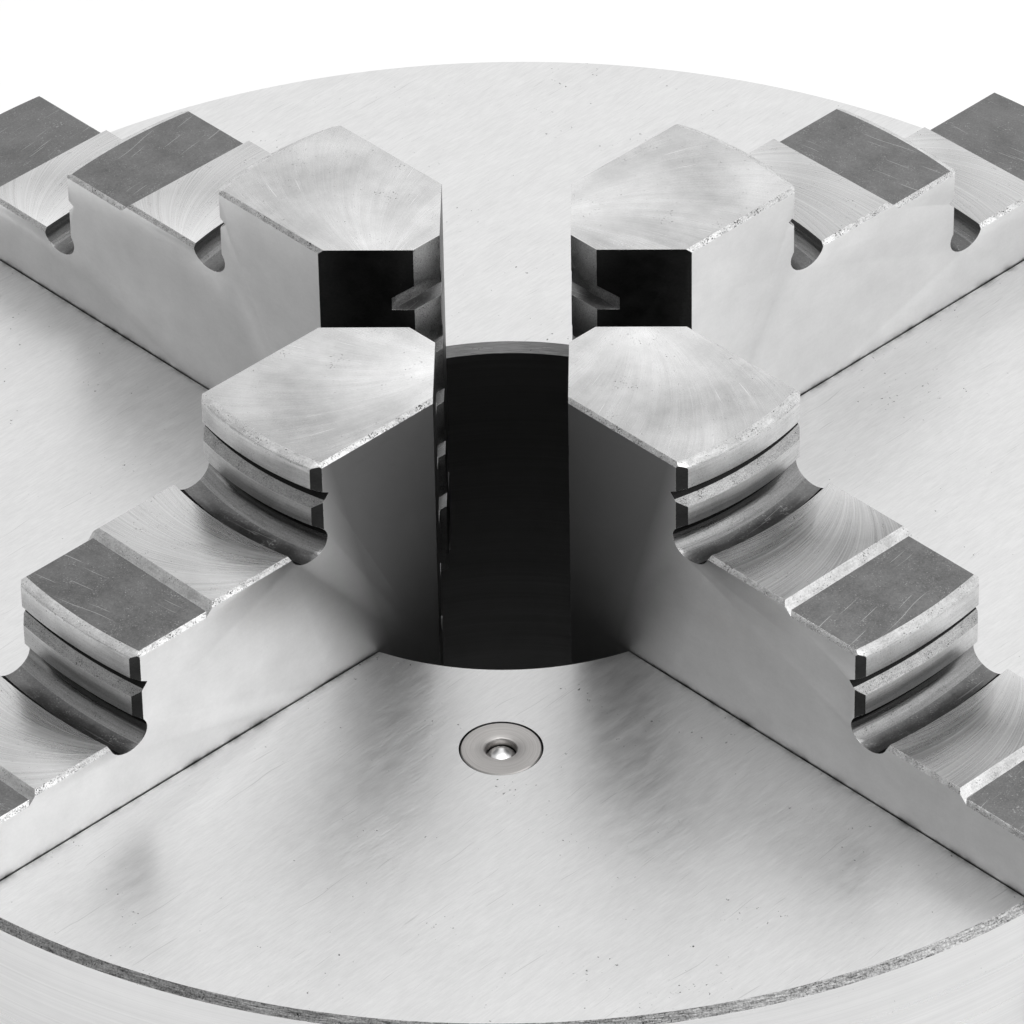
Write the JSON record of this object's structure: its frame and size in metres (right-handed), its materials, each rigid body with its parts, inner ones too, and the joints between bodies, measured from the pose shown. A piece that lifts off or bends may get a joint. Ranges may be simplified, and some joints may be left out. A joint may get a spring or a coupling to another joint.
{
  "type": "lathe chuck",
  "caption": "Self-centring lathe chuck: round steel body, stepped jaws in radial slots driven by a scroll, key sockets in the rim, ball oiler in the face.",
  "frame": {"origin": "centre of the rear mounting face", "axes": "+Z out of the front face along the spindle axis; the jaws lie on the diagonals of X and Y, and the oiler towards -Y"},
  "size_m": [0.2, 0.2, 0.1078],
  "materials": {
    "body_steel": "fine ground",
    "jaw_steel": "ground, hardened",
    "scroll_steel": "turned, oiled",
    "pinion_steel": "hardened, dark",
    "cover_steel": "turned",
    "screw_steel": "black oxide",
    "oiler_metal": "turned, warm tone",
    "ball_steel": "polished",
    "spring_steel": "drawn wire"
  },
  "bodies": {
    "chuck": {"chuck_body": "body_steel", "rear_cover": "cover_steel", "oiler_body": "oiler_metal", "oiler_spring": "spring_steel", "cover_screw_front_right": "screw_steel", "cover_screw_back_right": "screw_steel", "cover_screw_back_left": "screw_steel", "cover_screw_front_left": "screw_steel", "pinion_screw_right": "screw_steel", "pinion_screw_back": "screw_steel", "pinion_screw_left": "screw_steel", "pinion_screw_front": "screw_steel"},
    "scroll": {"scroll_plate": "scroll_steel"},
    "ball": {"oiler_ball": "ball_steel"},
    "jaw_front_right": {"jaw_front_right": "jaw_steel"},
    "jaw_back_right": {"jaw_back_right": "jaw_steel"},
    "jaw_back_left": {"jaw_back_left": "jaw_steel"},
    "jaw_front_left": {"jaw_front_left": "jaw_steel"},
    "pinion_right": {"pinion_right": "pinion_steel"},
    "pinion_back": {"pinion_back": "pinion_steel"},
    "pinion_left": {"pinion_left": "pinion_steel"},
    "pinion_front": {"pinion_front": "pinion_steel"}
  },
  "joints": [
    {"name": "scroll_spin", "type": "hinge", "parent": "chuck", "child": "scroll", "pos_m": [0, 0, 0.045], "axis": [0, 0, 1], "range_deg": [-1008, 378]},
    {"name": "jaw_front_right_slide", "type": "slide", "parent": "chuck", "child": "jaw_front_right", "axis": [0.7071, -0.7071, 0], "range_m": [-0.0105, 0.028]},
    {"name": "jaw_back_right_slide", "type": "slide", "parent": "chuck", "child": "jaw_back_right", "axis": [0.7071, 0.7071, 0], "range_m": [-0.0105, 0.028]},
    {"name": "jaw_back_left_slide", "type": "slide", "parent": "chuck", "child": "jaw_back_left", "axis": [-0.7071, 0.7071, 0], "range_m": [-0.0105, 0.028]},
    {"name": "jaw_front_left_slide", "type": "slide", "parent": "chuck", "child": "jaw_front_left", "axis": [-0.7071, -0.7071, 0], "range_m": [-0.0105, 0.028]},
    {"name": "pinion_right_spin", "type": "hinge", "parent": "chuck", "child": "pinion_right", "pos_m": [0.08, 0, 0.0285], "axis": [1, 0, 0], "range_deg": [-2268, 6048]},
    {"name": "pinion_back_spin", "type": "hinge", "parent": "chuck", "child": "pinion_back", "pos_m": [0, 0.08, 0.0285], "axis": [0, 1, 0], "range_deg": [-2268, 6048]},
    {"name": "pinion_left_spin", "type": "hinge", "parent": "chuck", "child": "pinion_left", "pos_m": [-0.08, 0, 0.0285], "axis": [-1, 0, 0], "range_deg": [-2268, 6048]},
    {"name": "pinion_front_spin", "type": "hinge", "parent": "chuck", "child": "pinion_front", "pos_m": [0, -0.08, 0.0285], "axis": [0, -1, 0], "range_deg": [-2268, 6048]},
    {"name": "oiler_ball_press", "type": "slide", "parent": "chuck", "child": "ball", "axis": [0, 0, -1], "range_m": [0, 0.001], "stiffness_N_per_m": 300, "deforming": ["oiler_spring"]}
  ],
  "couplings": [
    {"joint": "jaw_front_right_slide", "follows": "scroll_spin", "m_per_rad": -0.0015915},
    {"joint": "jaw_back_right_slide", "follows": "scroll_spin", "m_per_rad": -0.0015915},
    {"joint": "jaw_back_left_slide", "follows": "scroll_spin", "m_per_rad": -0.0015915},
    {"joint": "jaw_front_left_slide", "follows": "scroll_spin", "m_per_rad": -0.0015915},
    {"joint": "pinion_right_spin", "follows": "scroll_spin", "ratio": -6},
    {"joint": "pinion_back_spin", "follows": "scroll_spin", "ratio": -6},
    {"joint": "pinion_left_spin", "follows": "scroll_spin", "ratio": -6},
    {"joint": "pinion_front_spin", "follows": "scroll_spin", "ratio": -6}
  ]
}
